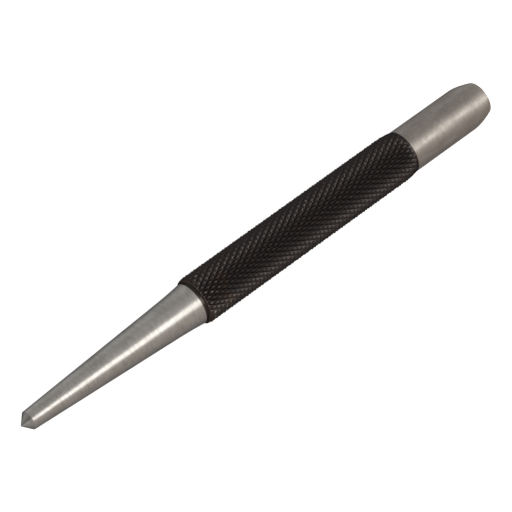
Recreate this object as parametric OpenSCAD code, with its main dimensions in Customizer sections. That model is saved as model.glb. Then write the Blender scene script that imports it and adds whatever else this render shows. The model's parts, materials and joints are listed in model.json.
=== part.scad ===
// Center punch: one bar of hardened tool steel, turned, ground and knurled.
// It lies along X with its point towards -X, resting on the knurled grip at Z = 0.
// Each module below is one zone of the bar, and neighbouring zones meet face to face.
// Lengths are measured from the tip of the point, along the axis.

/* [Overall] */
// Length from the tip of the point to the struck face
overall_l = 95.25; // [93:0.25:100]

/* [Point] */
// Diameter at the base of the conical point
point_d = 3.18; // [2.4:0.02:4]
// Included angle of the conical point
point_angle = 90; // [60:1:118]
// Diameter of the tiny flat that honing leaves on the tip
tip_flat_d = 0.12; // [0.06:0.02:0.4]

/* [Nose] */
// Length from the tip to the end of the bright nose
nose_end = 33.75; // [28:0.05:40]
// Diameter of the nose where it meets the neck
nose_base_d = 7.08; // [6:0.02:7.4]
// Length of the flare that runs the nose into the grip's neck
flare_l = 5; // [2:0.1:10]
// How far the flare rises above the straight taper, on the radius
flare_h = 0.15; // [0.02:0.01:0.4]

/* [Grip] */
// Diameter over the crests of the knurl
grip_d = 8.1; // [7.8:0.02:9]
// Length from the tip to the rear end of the grip
grip_end = 78.4; // [70:0.1:84]
// Length of the blackened neck between the bright nose and the grip's shoulder
neck_l = 0.5; // [0.1:0.05:1]
// Length of the chamfer on the grip's shoulder
front_chamfer_l = 0.1; // [0.05:0.05:1]
// Diameter at the top of that chamfer
front_chamfer_d = 7.8; // [7.5:0.05:7.8]
// Length over which the knurl rises to its full height
run_in_l = 0.6; // [0.5:0.1:4]
// Length of the taper where the knurl runs out onto the shank
run_out_l = 2.2; // [0.5:0.1:4]
// How far that run-out bulges out of a straight line
run_out_bulge = 0.03; // [0.01:0.01:0.1]

/* [Shank and head] */
// Diameter of the plain shank
shank_d = 7.4; // [6.8:0.02:7.7]
// Length from the tip to the rear end of the plain shank
shank_end = 91.85; // [86:0.05:92]
// Diameter of the head where its rounded edge begins
head_end_d = 5.8; // [4:0.05:6.6]
// How far the head's taper bulges out of a straight line
head_bulge = 0.09; // [0.02:0.01:0.2]
// Radius of the rounded edge around the struck face
edge_r = 0.25; // [0.1:0.05:0.5]

/* [Hidden] */
$fn = 120;

ground_steel = [0.66, 0.66, 0.63];
satin_steel = [0.58, 0.57, 0.55];
black_oxide = [0.13, 0.12, 0.11];

point_l = (point_d - tip_flat_d) / 2 / tan(point_angle / 2);
// The nose's straight taper is aimed one flare height inside the edge of its own large end
flare_start = nose_end - flare_l;
taper_per_mm = (nose_base_d / 2 - flare_h - point_d / 2) / (nose_end - point_l);
flare_start_r = point_d / 2 + taper_per_mm * (flare_start - point_l);
// A curve that leaves the straight taper at a tangent dips a quarter of its rise below its chord
flare_dip = -flare_h / 4;
head_end = overall_l - edge_r;
edge_bulge = edge_r * (1 - cos(45));
curve_steps = 10;

// Points of the arc from p to q that bulges by h to the left of the way from p to q
function arc(p, q, h) =
    let (
        chord = norm(q - p),
        along = (q - p) / chord,
        left = [-along[1], along[0]],
        r = chord * chord / (8 * h) + h / 2,
        half = asin(chord / 2 / r),
        centre = (p + q) / 2 - left * (r - h)
    )
    [
        for (i = [0:curve_steps])
            let (a = half * (2 * i / curve_steps - 1))
            centre + r * (left * cos(a) + along * sin(a))
    ];

// One zone of the bar: [length, radius] points turned about the bar's axis
module turned(outline) {
    closed = concat([[outline[0][0], 0]], outline, [[outline[len(outline) - 1][0], 0]]);
    translate([-overall_l / 2, 0, grip_d / 2])
        rotate([0, 90, 0])
            rotate_extrude()
                polygon([for (p = closed) [p[1], p[0]]]);
}

module point() {
    color(ground_steel)
        turned([[0, tip_flat_d / 2], [point_l, point_d / 2]]);
}

module tapered_nose() {
    flare = arc([flare_start, flare_start_r], [nose_end, nose_base_d / 2], flare_dip);
    color(ground_steel)
        turned(concat([[point_l, point_d / 2]], flare));
}

module knurled_grip() {
    shoulder = nose_end + neck_l;
    chamfer_top = shoulder + front_chamfer_l;
    front = [
        [nose_end, nose_base_d / 2],
        [shoulder, nose_base_d / 2],
        [chamfer_top, front_chamfer_d / 2],
        [chamfer_top + run_in_l, grip_d / 2]
    ];
    run_out = arc([grip_end - run_out_l, grip_d / 2], [grip_end, shank_d / 2], run_out_bulge);
    color(black_oxide)
        turned(concat(front, run_out));
}

module shank() {
    color(satin_steel)
        turned([[grip_end, shank_d / 2], [shank_end, shank_d / 2]]);
}

module struck_head() {
    crown = arc([shank_end, shank_d / 2], [head_end, head_end_d / 2], head_bulge);
    edge = arc([head_end, head_end_d / 2], [overall_l, head_end_d / 2 - edge_r], edge_bulge);
    color(satin_steel)
        turned(concat(crown, [for (i = [1:curve_steps]) edge[i]]));
}

point();
tapered_nose();
knurled_grip();
shank();
struck_head();
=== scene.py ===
"""The looks of the center punch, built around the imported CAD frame.

Every piece is turned or cut about the punch's own axis, which runs along X. Outlines are read
from the frame's CAD nodes, so the looks follow the design. Lengths are in metres.
"""

import json
import math

import bmesh
import bpy
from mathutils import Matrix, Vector


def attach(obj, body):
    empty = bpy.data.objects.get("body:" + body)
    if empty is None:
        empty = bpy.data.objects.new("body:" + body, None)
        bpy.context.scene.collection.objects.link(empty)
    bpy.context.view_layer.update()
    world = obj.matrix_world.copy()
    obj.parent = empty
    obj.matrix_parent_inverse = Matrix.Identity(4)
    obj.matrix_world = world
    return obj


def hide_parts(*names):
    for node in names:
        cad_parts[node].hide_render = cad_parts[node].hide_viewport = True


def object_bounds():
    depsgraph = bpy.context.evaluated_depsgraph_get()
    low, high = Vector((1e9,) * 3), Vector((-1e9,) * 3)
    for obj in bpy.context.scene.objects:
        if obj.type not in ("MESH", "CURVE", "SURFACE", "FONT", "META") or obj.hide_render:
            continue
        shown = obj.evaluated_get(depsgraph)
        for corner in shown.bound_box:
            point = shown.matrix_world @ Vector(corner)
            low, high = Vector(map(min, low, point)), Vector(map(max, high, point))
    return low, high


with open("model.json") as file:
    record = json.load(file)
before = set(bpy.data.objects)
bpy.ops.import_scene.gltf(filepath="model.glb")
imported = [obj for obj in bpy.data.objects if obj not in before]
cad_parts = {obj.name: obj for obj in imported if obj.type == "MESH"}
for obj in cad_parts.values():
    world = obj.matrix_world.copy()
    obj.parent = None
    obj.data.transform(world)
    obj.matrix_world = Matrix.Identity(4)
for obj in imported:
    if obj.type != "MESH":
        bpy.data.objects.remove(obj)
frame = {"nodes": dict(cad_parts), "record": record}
cad_low, cad_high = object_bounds()
MM = 0.001

# The punch lies on its grip, whose mount is on the axis and measures over the knurl's crests
GRIP_MOUNT = next(mount for mount in frame["record"]["mounts"] if mount["name"] == "grip")
AXIS_Z = GRIP_MOUNT["pos_m"][2]
CREST = GRIP_MOUNT["dims"]["r_mm"] * MM
MIDDLE = Vector(((cad_low[0] + cad_high[0]) / 2, 0, AXIS_Z))

# Camera
VIEW_AZIMUTH = math.radians(-42.64)
VIEW_ELEVATION = math.radians(51.1)
VIEW_DISTANCE = 0.5362
AIM = MIDDLE + Vector((-0.28, 0.24, 0)) * MM
LENS_MM = 246
SENSOR_MM = 36

# The set: its pale floor and backdrop lie within this distance
SET_RADIUS = 3
DOME_SEGMENTS = 64
SET_COLOUR = (0.9, 0.9, 0.9, 1)
FLOOR_GLOW = 0.8
BACKDROP_GLOW = 1

# Turned pieces: faces around the axis, and how far apart the rings of each may be
SEGMENTS = 256
PLAIN_STEP = 0.5 * MM
HEAD_STEP = 0.2 * MM
FINE_STEP = 0.1 * MM

# How far each softened corner is cut back, and the radius of the flat cap that ends the tip
EASE_STEPS = 8
POINT_CORNER = 0.06 * MM
HEAD_CORNER = 0.7 * MM
TIP_CORNER = 0.03 * MM
TIP_CAP = 0.02 * MM
NECK_CORNER = 0.05 * MM
SHOULDER_CORNER = 0.15 * MM

# Knurl: two crossed sets of helical grooves. A cell is half a diamond each way, and twist is
# in radians per metre. Its crests are blunter near the front, where they are worn.
KNURL_STARTS = 26
KNURL_PITCH = 1.588 * MM
KNURL_TWIST = 5.6
KNURL_WALL = 0.39 * MM
KNURL_STEPS = (0, 0.1, 0.5, 0.9)
CREST_BLUNT = 0.08
WORN_BLUNT = 0.12
KNURL_RUN_IN = 0.1 * MM
KNURL_RUN_OUT = 0.3 * MM
LAST_ROW_GAP = 0.01 * MM
ROUNDING = 1e-6

# Noise: its waves per metre in each pattern, and the range that holds most of its values
STEEL_PATCHES = 900
OXIDE_BROWNING = 500
OXIDE_WEAR = 900
OXIDE_GRAIN = 9000
MOST_NOISE = (0.3, 0.7)

# Bare steel. Its patches are drawn out along the axis.
STEEL_EDGE_TINT = 0.8
STEEL_BUMP = 0.0015 * MM
PATCH_SQUEEZE = 0.35
QUARTER_TURN = 0.25

# Black oxide's colours: the two that it is mottled with, the neck, and a painted light on the
# shoulder's step that lifts the shade there
OXIDE_BLACK = (0.061, 0.054, 0.0535)
OXIDE_BROWN = (0.088, 0.061, 0.048)
OXIDE_NECK = (0.066, 0.056, 0.049)
STEP_PAINTED_LIGHT = (0.17, 0.13, 0.11)
OXIDE_EDGE_TINT = 0.5
NECK_BLEND = 0.02 * MM
STEP_LIGHT_BLEND = 0.1 * MM

# Its browning
FRONT_BROWN = 13 * MM       # how far behind the grip's front it has faded to its least
BROWN_LEAST = 0.2
BROWN_NOISE = (0.50, 0.72)  # where it sets in, and where it is full

# Its wear on the knurl's crests
FRONT_WEAR = 7 * MM         # how far behind the grip's front there is more of it
MORE_WORN = 0.17            # how much more there is at the front
WEAR_RUN_IN = 0.4 * MM      # how far behind the knurl's start it reaches its full strength
WEAR_SEED = 2
WORN_NOISE = (0.66, 0.78)   # where it sets in, and where it is full
LEAST_WORN = (0.05, 0.16)   # how worn the other crests are, far back and at the front
CREST_BAND = (0.04 * MM, 0.015 * MM)    # how far below a crest's top it starts, and is full
WORN_STEEL = (0.40, 0.37, 0.34)

# Its gloss: the grain's roughness and height, and what is added or taken off in places
OXIDE_ROUGHNESS = (0.32, 0.44)
OXIDE_BUMP = 0.008 * MM
CREST_ROUGHER = 0.25
WORN_SMOOTHER = 0.3
NECK_SMOOTHER = 0.09

# Light. Angles are in degrees about the punch's axis, from +Y up.
KEY_ANGLE = 137.5
KEY_COLOUR = (1, 0.98, 0.94)
FILL_COLOUR = (1, 0.98, 0.95)

# The sky's colours go once around the axis, starting opposite the camera
SKY_START = -59.3
SKY = (
    (-59, (0.06, 0.06, 0.06)),
    (-32, (0.08, 0.08, 0.08)),
    (0, (0.32, 0.315, 0.31)),
    (20, (0.42, 0.41, 0.405)),
    (40, (0.39, 0.38, 0.375)),
    (54, (0.33, 0.32, 0.31)),
    (67, (0.37, 0.36, 0.35)),
    (92, (0.40, 0.38, 0.37)),
    (138, (0.44, 0.42, 0.40)),
    (165, (0.413, 0.378, 0.348)),
    (187, (0.40, 0.361, 0.335)),
    (202, (0.355, 0.316, 0.295)),
    (218, (0.31, 0.28, 0.264)),
    (240, (0.27, 0.255, 0.245)),
    (264, (0.17, 0.16, 0.155)),
    (285, (0.08, 0.08, 0.075)),
    (300, (0.06, 0.06, 0.06)),
)

# It has other colours beyond the punch's point, where a dark panel stands beside a lit one.
# They blend in between two values of the direction's X.
FRONT_SKY_FROM = -0.45
FRONT_SKY_FULL = -0.7
SKY_FRONT = (
    (-59, (0.28, 0.27, 0.26)),
    (0, (0.23, 0.225, 0.22)),
    (45, (0.25, 0.245, 0.24)),
    (66, (0.20, 0.195, 0.19)),
    (78, (0.06, 0.055, 0.05)),
    (102, (0.05, 0.045, 0.04)),
    (112, (0.20, 0.19, 0.185)),
    (130, (0.44, 0.43, 0.42)),
    (165, (0.46, 0.44, 0.43)),
    (190, (0.38, 0.365, 0.35)),
    (218, (0.32, 0.305, 0.29)),
    (264, (0.24, 0.23, 0.22)),
    (300, (0.28, 0.27, 0.26)),
)


def outline(node):
    """[(x, radius)] of a turned CAD node, from its own vertices."""
    rings = {}
    for vertex in frame["nodes"][node].data.vertices:
        x = round(vertex.co.x, 7)
        radius = math.hypot(vertex.co.y, vertex.co.z - AXIS_Z)
        rings[x] = max(rings.get(x, 0), radius)
    return sorted(rings.items())


def radius_at(points, x):
    """The radius of an outline at x, straight between its points."""
    for (x0, r0), (x1, r1) in zip(points, points[1:]):
        if x <= x1:
            return r0 + (r1 - r0) * max(0, x - x0) / (x1 - x0)
    return points[-1][1]


def between(points, low, high):
    """The part of an outline from x = low to x = high."""
    inner = [p for p in points if low < p[0] < high]
    return [(low, radius_at(points, low))] + inner + [(high, radius_at(points, high))]


def filled(points, step):
    """The outline with points added so that none are further apart than step."""
    result = [points[0]]
    for (x0, r0), (x1, r1) in zip(points, points[1:]):
        n = max(1, math.ceil(math.hypot(x1 - x0, r1 - r0) / step))
        result += [(x0 + (x1 - x0) * i / n, r0 + (r1 - r0) * i / n) for i in range(1, n + 1)]
    return result


def walked(points, reach):
    """The point at a distance along an outline from its first point."""
    for a, b in zip(points, points[1:]):
        a, b = Vector(a), Vector(b)
        length = (b - a).length
        if length >= reach:
            return a + (b - a) * reach / length
        reach -= length
    return b


def eased(points, corner, reach):
    """The outline with the corner nearest to x = corner rounded over a short reach both ways."""
    i = min(range(1, len(points) - 1), key=lambda k: abs(points[k][0] - corner))
    here = Vector(points[i])
    start = walked(points[i::-1], reach)
    end = walked(points[i:], reach)
    curve = []
    for k in range(EASE_STEPS + 1):
        t = k / EASE_STEPS
        p = start * (1 - t) ** 2 + here * 2 * t * (1 - t) + end * t * t
        curve.append((p.x, p.y))
    before = [p for p in points[:i] if p[0] < start.x]
    after = [p for p in points[i + 1:] if p[0] > end.x]
    return before + curve + after


def turn_point(x, radius, turn):
    """The place at an angle in radians about the punch's axis, from +Y up."""
    return x, radius * math.cos(turn), AXIS_Z + radius * math.sin(turn)


def close(bm, ring, x, first):
    """A flat cap over an end ring, with a sharp rim so that it doesn't shade the side."""
    centre = bm.verts.new((x, 0, AXIS_Z))
    for i, vertex in enumerate(ring):
        after = ring[(i + 1) % len(ring)]
        corners = (vertex, centre, after) if first else (vertex, after, centre)
        bm.faces.new(corners).smooth = True
        bm.edges.get((vertex, after)).smooth = False


def finish_piece(bm, name, node, material):
    """Makes the piece from a bmesh. It rides on the punch and stands for its CAD node."""
    bmesh.ops.recalc_face_normals(bm, faces=bm.faces)
    mesh = bpy.data.meshes.new(name)
    bm.to_mesh(mesh)
    bm.free()
    mesh.materials.append(material)
    piece = bpy.data.objects.new(name, mesh)
    bpy.context.scene.collection.objects.link(piece)
    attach(piece, "root")
    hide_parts(node)


def lathe(name, points, node, material):
    """A closed solid turned about the punch's axis from [(x, radius)] points."""
    bm = bmesh.new()
    turns = [2 * math.pi * i / SEGMENTS for i in range(SEGMENTS)]
    rings = [[bm.verts.new(turn_point(x, radius, turn)) for turn in turns] for x, radius in points]
    for ring, after in zip(rings, rings[1:]):
        for i in range(SEGMENTS):
            j = (i + 1) % SEGMENTS
            bm.faces.new((ring[i], ring[j], after[j], after[i])).smooth = True
    close(bm, rings[0], points[0][0], True)
    close(bm, rings[-1], points[-1][0], False)
    finish_piece(bm, name, node, material)


def smooth_step(t):
    """Rises from 0 to 1 with level ends as t goes from 0 to 1."""
    t = min(1, max(0, t))
    return t * t * (3 - 2 * t)


def knurl_drop(along, around, blunt):
    """How far below its crest the knurl is at a place in cells. Its walls fall 1 in each cell."""
    i, j = math.floor(along), math.floor(around)
    a, b = along - i, around - j
    if (i + j) % 2:
        a = 1 - a
    from_crest = min(a + b, 2 - a - b)
    if from_crest > 2 * blunt:
        return from_crest - blunt
    return from_crest ** 2 / (4 * blunt)


def knurl_rows(points, start):
    """[(x, place in cells)] of the grip's rings: the plain front, the knurl from start, the end."""
    cell = KNURL_PITCH / 2
    last = points[-1][0]
    rows = [(x, 0) for x, _ in filled(points, FINE_STEP) if x < start]
    for k in range(math.ceil((last - start) / cell)):
        rows += [(start + (k + s) * cell, k + s) for s in KNURL_STEPS]
    rows = [row for row in rows if row[0] < last - LAST_ROW_GAP]
    return rows + [(last, (last - start) / cell)]


def knurled(name, points, start, node, material):
    """The grip: a turned outline with two crossed sets of helical grooves cut into it."""
    bm = bmesh.new()
    last = points[-1][0]
    rows = knurl_rows(points, start)
    columns = [j + s for j in range(2 * KNURL_STARTS) for s in KNURL_STEPS]
    rings = []
    roots = set()
    for x, along in rows:
        cap = radius_at(points, x)
        run_in = smooth_step((x - start) / KNURL_RUN_IN)
        wall = KNURL_WALL * run_in * smooth_step((last - x) / KNURL_RUN_OUT)
        blunt = WORN_BLUNT + (CREST_BLUNT - WORN_BLUNT) * smooth_step((x - start) / FRONT_WEAR)
        ring = []
        for around in columns:
            drop = knurl_drop(along, around, blunt)
            turn = math.pi * around / KNURL_STARTS + KNURL_TWIST * (x - start)
            vertex = bm.verts.new(turn_point(x, min(cap, CREST - wall * drop), turn))
            ring.append(vertex)
            if drop > 1 - blunt - ROUNDING:
                roots.add(vertex)
        rings.append(ring)
    for ring, after, (_, along) in zip(rings, rings[1:], rows):
        for i, around in enumerate(columns):
            j = (i + 1) % len(columns)
            a, b, c, d = ring[i], ring[j], after[j], after[i]
            if (math.floor(along + ROUNDING) + math.floor(around + ROUNDING)) % 2:
                triangles = ((a, b, c), (a, c, d))
            else:
                triangles = ((a, b, d), (b, c, d))
            for corners in triangles:
                bm.faces.new(corners).smooth = True
    for edge in bm.edges:
        edge.smooth = not roots.issuperset(edge.verts)
    close(bm, rings[0], points[0][0], True)
    close(bm, rings[-1], last, False)
    finish_piece(bm, name, node, material)


class Graph:
    """Makes the nodes of a material or world. A value is a number, a tuple or a socket."""

    def __init__(self, tree):
        self.nodes = tree.nodes
        self.links = tree.links

    def put(self, socket, value):
        if isinstance(value, bpy.types.NodeSocket):
            self.links.new(value, socket)
        else:
            socket.default_value = value

    def math(self, operation, *values):
        node = self.nodes.new("ShaderNodeMath")
        node.operation = operation
        for socket, value in zip(node.inputs, values):
            self.put(socket, value)
        return node.outputs["Value"]

    def vector(self, operation, output, *values):
        node = self.nodes.new("ShaderNodeVectorMath")
        node.operation = operation
        for socket, value in zip(node.inputs, values):
            self.put(socket, value)
        return node.outputs[output]

    def scaled(self, value, low, high, new_low=0, new_high=1):
        """The value moved from the range low to high into the new range, and kept inside it."""
        node = self.nodes.new("ShaderNodeMapRange")
        self.put(node.inputs["Value"], value)
        self.put(node.inputs["From Min"], low)
        self.put(node.inputs["From Max"], high)
        self.put(node.inputs["To Min"], new_low)
        self.put(node.inputs["To Max"], new_high)
        return node.outputs["Result"]

    def noise(self, place, scale, detail, w=None):
        node = self.nodes.new("ShaderNodeTexNoise")
        self.put(node.inputs["Vector"], place)
        node.inputs["Scale"].default_value = scale
        node.inputs["Detail"].default_value = detail
        if w is not None:
            node.noise_dimensions = "4D"
            self.put(node.inputs["W"], w)
        return node.outputs[0]

    def mixed(self, share, a, b):
        """A colour that goes from a to b. Each is (red, green, blue) or a socket."""
        node = self.nodes.new("ShaderNodeMix")
        node.data_type = "RGBA"
        self.put(node.inputs[0], share)
        for socket, colour in zip(node.inputs[6:8], (a, b)):
            self.put(socket, (*colour, 1) if isinstance(colour, tuple) else colour)
        return node.outputs[2]

    def ramp(self, share, stops):
        node = self.nodes.new("ShaderNodeValToRGB")
        elements = node.color_ramp.elements
        while len(elements) < len(stops):
            elements.new(0.5)
        for element, (position, colour) in zip(elements, stops):
            element.position = position
            element.color = (*colour, 1)
        self.links.new(share, node.inputs["Fac"])
        return node.outputs["Color"]

    def bump(self, height, distance):
        node = self.nodes.new("ShaderNodeBump")
        node.inputs["Strength"].default_value = 1
        node.inputs["Distance"].default_value = distance
        self.put(node.inputs["Height"], height)
        return node.outputs["Normal"]

    def about_axis(self):
        """A place, its x, its distance from the punch's axis and its direction around it."""
        place = self.nodes.new("ShaderNodeTexCoord").outputs["Object"]
        from_axis = self.vector("SUBTRACT", "Vector", place, (0, 0, AXIS_Z))
        across = self.vector("MULTIPLY", "Vector", from_axis, (0, 1, 1))
        x = self.vector("DOT_PRODUCT", "Value", place, (1, 0, 0))
        radius = self.vector("LENGTH", "Value", across)
        return place, x, radius, self.vector("NORMALIZE", "Vector", across)

    def rings(self, x, radius, way, spacing, reach):
        """Noise drawn out into fine lines around the axis, reach radians long."""
        along = self.math("DIVIDE", self.math("ADD", x, radius), spacing)
        around = self.vector("MULTIPLY", "Vector", way, (1 / reach, 1 / reach, 1 / reach))
        return self.noise(around, scale=1, detail=3, w=along)


def new_metal(name, anisotropy, edge_tint):
    """A metal, its graph and its shader. The edge tint is how bright it is at a grazing angle."""
    material = bpy.data.materials.new(name)
    material.use_nodes = True
    graph = Graph(material.node_tree)
    shader = graph.nodes["Principled BSDF"]
    shader.inputs["Metallic"].default_value = 1
    shader.inputs["Anisotropic"].default_value = anisotropy
    shader.inputs["Specular Tint"].default_value = (edge_tint, edge_tint, edge_tint, 1)
    return material, graph, shader


def steel(name, dull, bright, roughness, anisotropy, spacing, reach, spread, line, patch):
    """Bare steel worked around the axis: fine ring lines over soft patches.

    The lines are about spacing apart and reach radians long. Spread is how far their noise
    strays before a line is fully dull or bright. Line and patch are the shares of the two.
    """
    material, graph, shader = new_metal(name, anisotropy, STEEL_EDGE_TINT)
    place, x, radius, way = graph.about_axis()
    rings = graph.rings(x, radius, way, spacing, reach)
    lines = graph.scaled(rings, 0.5 - spread, 0.5 + spread)
    drawn_out = graph.vector("MULTIPLY", "Vector", place, (PATCH_SQUEEZE, 1, 1))
    patches = graph.scaled(graph.noise(drawn_out, STEEL_PATCHES, detail=3), *MOST_NOISE)
    line_part = graph.math("MULTIPLY", lines, line)
    patch_part = graph.math("MULTIPLY", patches, patch)
    share = graph.math("ADD", line_part, patch_part)
    graph.put(shader.inputs["Base Color"], graph.mixed(share, dull, bright))
    graph.put(shader.inputs["Roughness"], graph.scaled(share, 0, 1, *roughness))
    graph.put(shader.inputs["Normal"], graph.bump(lines, STEEL_BUMP))
    shader.inputs["Anisotropic Rotation"].default_value = QUARTER_TURN
    tangent = graph.nodes.new("ShaderNodeTangent")
    tangent.direction_type = "RADIAL"
    tangent.axis = "X"
    graph.put(shader.inputs["Tangent"], tangent.outputs["Tangent"])
    return material


def black_oxide(points):
    """Blackened steel: brown in places, worn bright on some crests near the grip's front, and
    painted lighter on the shoulder's step.

    The points are the grip's outline in the CAD: neck, shoulder, the step up to where the knurl
    starts, and the rise to where its crests reach their full height.
    """
    material, graph, shader = new_metal("black_oxide", 0, OXIDE_EDGE_TINT)
    place, x, radius, _ = graph.about_axis()
    front, shoulder = points[0][0], points[1][0]
    (start, start_radius), (full, full_radius) = points[2:4]
    near_front = graph.scaled(x, front + FRONT_WEAR, front)

    # Colour: black and brown, with the neck on its own, and painted light on the step of the
    # shoulder to lift its shade
    browning = graph.scaled(graph.noise(place, OXIDE_BROWNING, detail=4), *BROWN_NOISE)
    brown_share = graph.scaled(x, front + FRONT_BROWN, front, BROWN_LEAST, 1)
    brown = graph.math("MULTIPLY", browning, brown_share)
    colour = graph.mixed(brown, OXIDE_BLACK, OXIDE_BROWN)
    neck = graph.scaled(x, shoulder, shoulder - NECK_BLEND)
    colour = graph.mixed(neck, colour, OXIDE_NECK)
    # Painted light: the step of the shoulder, which lies in shade, is coloured a lighter brown
    past_neck = graph.scaled(x, shoulder - NECK_BLEND, shoulder)
    before_knurl = graph.scaled(x, start + STEP_LIGHT_BLEND, start)
    step = graph.math("MULTIPLY", past_neck, before_knurl)
    colour = graph.mixed(step, colour, STEP_PAINTED_LIGHT)

    # Wear: bare steel on the crests, on more of them near the front
    crest_radius = graph.scaled(x, start, full, start_radius, full_radius)
    below_crest = graph.math("SUBTRACT", crest_radius, radius)
    top = graph.scaled(below_crest, *CREST_BAND)
    crest = graph.math("MULTIPLY", top, graph.scaled(x, start, start + WEAR_RUN_IN))
    more = graph.scaled(near_front, 0, 1, 0, MORE_WORN)
    uneven = graph.noise(place, OXIDE_WEAR, detail=2, w=WEAR_SEED)
    worn = graph.math("ADD", uneven, more)
    least = graph.scaled(near_front, 0, 1, *LEAST_WORN)
    wear = graph.math("MULTIPLY", crest, graph.scaled(worn, *WORN_NOISE, least, 1))
    graph.put(shader.inputs["Base Color"], graph.mixed(wear, colour, WORN_STEEL))

    # Gloss: a fine grain, rougher on the crests, smoother where worn and on the neck
    grain = graph.noise(place, OXIDE_GRAIN, detail=3)
    grainy = graph.scaled(grain, *MOST_NOISE, *OXIDE_ROUGHNESS)
    rough = graph.math("ADD", grainy, graph.math("MULTIPLY", crest, CREST_ROUGHER))
    smooth_wear = graph.math("MULTIPLY", wear, WORN_SMOOTHER)
    smooth_neck = graph.math("MULTIPLY", neck, NECK_SMOOTHER)
    smooth = graph.math("ADD", smooth_wear, smooth_neck)
    graph.put(shader.inputs["Roughness"], graph.math("SUBTRACT", rough, smooth))
    graph.put(shader.inputs["Normal"], graph.bump(grain, OXIDE_BUMP))
    return material


def add_camera():
    back = Vector((
        math.sin(VIEW_AZIMUTH) * math.cos(VIEW_ELEVATION),
        -math.cos(VIEW_AZIMUTH) * math.cos(VIEW_ELEVATION),
        math.sin(VIEW_ELEVATION),
    ))
    camera = bpy.data.objects.new("camera", bpy.data.cameras.new("camera"))
    camera.data.lens = LENS_MM
    camera.data.sensor_width = SENSOR_MM
    camera.location = AIM + back * VIEW_DISTANCE
    camera.rotation_euler = back.to_track_quat("Z", "Y").to_euler()
    bpy.context.scene.collection.objects.link(camera)
    bpy.context.scene.camera = camera


def add_set_piece(name, bm, glow):
    """A pale part of the set, seen by the camera but not mirrored in the steel."""
    mesh = bpy.data.meshes.new(name)
    bm.to_mesh(mesh)
    bm.free()
    material = bpy.data.materials.new(name)
    material.use_nodes = True
    shader = material.node_tree.nodes["Principled BSDF"]
    shader.inputs["Base Color"].default_value = SET_COLOUR
    shader.inputs["Roughness"].default_value = 1
    shader.inputs["Emission Color"].default_value = (1, 1, 1, 1)
    shader.inputs["Emission Strength"].default_value = glow
    mesh.materials.append(material)
    thing = bpy.data.objects.new(name, mesh)
    bpy.context.scene.collection.objects.link(thing)
    thing.visible_glossy = False
    thing.visible_diffuse = False
    thing.visible_shadow = False


def add_floor_and_backdrop():
    floor = bmesh.new()
    bmesh.ops.create_grid(floor, x_segments=1, y_segments=1, size=SET_RADIUS)
    add_set_piece("floor", floor, FLOOR_GLOW)
    dome = bmesh.new()
    bmesh.ops.create_uvsphere(dome, u_segments=DOME_SEGMENTS, v_segments=DOME_SEGMENTS // 2,
                              radius=SET_RADIUS)
    add_set_piece("backdrop", dome, BACKDROP_GLOW)


def add_light(data, aim, way, distance):
    """A light at a distance from the place it faces, in the direction way."""
    light = bpy.data.objects.new(data.name, data)
    light.location = aim + way * distance
    light.rotation_euler = way.to_track_quat("Z", "Y").to_euler()
    bpy.context.scene.collection.objects.link(light)


def strip_light(name, angle, width, radiance, along, length, distance=1):
    """A long soft box parallel to the punch. Its angle and width are in degrees about the axis."""
    data = bpy.data.lights.new(name, "AREA")
    data.shape = "RECTANGLE"
    data.size = length
    data.size_y = 2 * distance * math.tan(math.radians(width) / 2)
    data.energy = radiance * math.pi * data.size * data.size_y
    data.color = KEY_COLOUR
    way = Vector((0, math.cos(math.radians(angle)), math.sin(math.radians(angle))))
    add_light(data, MIDDLE + Vector((along, 0, 0)), way, distance)


def square_light(name, way, side, radiance, distance=1.5):
    """A square soft box in a direction from the punch."""
    data = bpy.data.lights.new(name, "AREA")
    data.size = side
    data.energy = radiance * math.pi * side * side
    data.color = FILL_COLOUR
    add_light(data, MIDDLE, Vector(way).normalized(), distance)


def add_sky():
    """The world's light, which changes around the punch's axis and beyond its point."""
    world = bpy.data.worlds.new("studio")
    bpy.context.scene.world = world
    world.use_nodes = True
    graph = Graph(world.node_tree)
    way = graph.nodes.new("ShaderNodeTexCoord").outputs["Generated"]
    x, y, z = (graph.vector("DOT_PRODUCT", "Value", way, axis)
               for axis in ((1, 0, 0), (0, 1, 0), (0, 0, 1)))
    angle = graph.math("ARCTAN2", z, y)
    from_start = graph.math("SUBTRACT", angle, math.radians(SKY_START))
    share = graph.math("FRACT", graph.math("DIVIDE", from_start, 2 * math.pi))
    around, beyond_point = (
        graph.ramp(share, [((degrees - SKY_START) / 360, colour) for degrees, colour in colours])
        for colours in (SKY, SKY_FRONT)
    )
    front = graph.scaled(x, FRONT_SKY_FROM, FRONT_SKY_FULL)
    colour = graph.mixed(front, around, beyond_point)
    graph.put(graph.nodes["Background"].inputs["Color"], colour)


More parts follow.
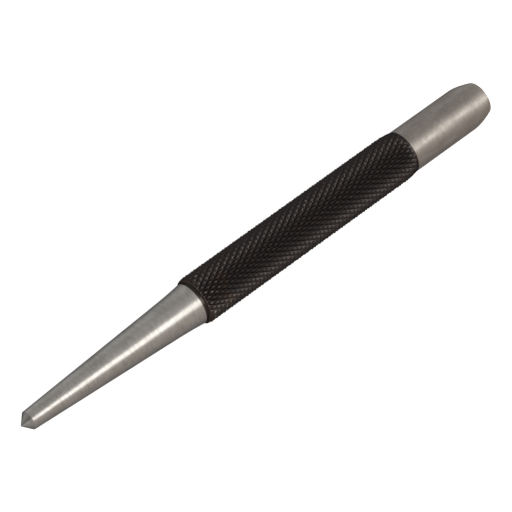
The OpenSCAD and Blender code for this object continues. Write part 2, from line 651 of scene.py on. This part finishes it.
add_camera()
add_floor_and_backdrop()
add_sky()
strip_light("key_near", KEY_ANGLE, width=29, radiance=2.25, along=0.42, length=0.66)
strip_light("key_far", KEY_ANGLE, width=32, radiance=4.5, along=1.6, length=1)
square_light("fill", way=(0.87, -0.385, 0.30), side=1.15, radiance=0.64)

# Outlines of the five zones, where each begins, and the corners between them softened
point, nose, grip, shank, head = (
    outline(node) for node in ("point", "tapered_nose", "knurled_grip", "shank", "struck_head")
)
tip, point_base, grip_front, grip_rear, head_base = (
    zone[0][0] for zone in (point, nose, grip, shank, head)
)
struck_face = head[-1][0]
shoulder, knurl_start = grip[1][0], grip[2][0]
front = eased(point + nose[1:], point_base, POINT_CORNER)
cone = [(tip, TIP_CAP)] + between(front, tip, point_base)
rear = eased(shank + head[1:], head_base, HEAD_CORNER)
sleeve = eased(grip, shoulder, NECK_CORNER)

ground = steel(
    "ground_steel",
    dull=(0.46, 0.45, 0.425),
    bright=(0.77, 0.76, 0.73),
    roughness=(0.38, 0.35),
    anisotropy=0.65,
    spacing=0.35 * MM,
    reach=0.5,
    spread=0.23,
    line=0.6,
    patch=0.4,
)
satin = steel(
    "satin_steel",
    dull=(0.625, 0.583, 0.545),
    bright=(0.80, 0.747, 0.70),
    roughness=(0.78, 0.53),
    anisotropy=0.9,
    spacing=0.22 * MM,
    reach=0.22,
    spread=0.16,
    line=0.5,
    patch=0.5,
)

lathe(
    "point_cone",
    filled(eased(cone, tip, TIP_CORNER), FINE_STEP),
    "point", ground,
)
lathe(
    "nose_taper",
    filled(between(front, point_base, grip_front), PLAIN_STEP),
    "tapered_nose", ground,
)
knurled(
    "knurled_sleeve",
    eased(sleeve, knurl_start, SHOULDER_CORNER),
    knurl_start,
    "knurled_grip", black_oxide(grip),
)
lathe(
    "plain_shank",
    filled(between(rear, grip_rear, head_base), PLAIN_STEP),
    "shank", satin,
)
lathe(
    "head_end",
    filled(between(rear, head_base, struck_face), HEAD_STEP),
    "struck_head", satin,
)

bpy.context.scene.view_settings.view_transform = "Standard"
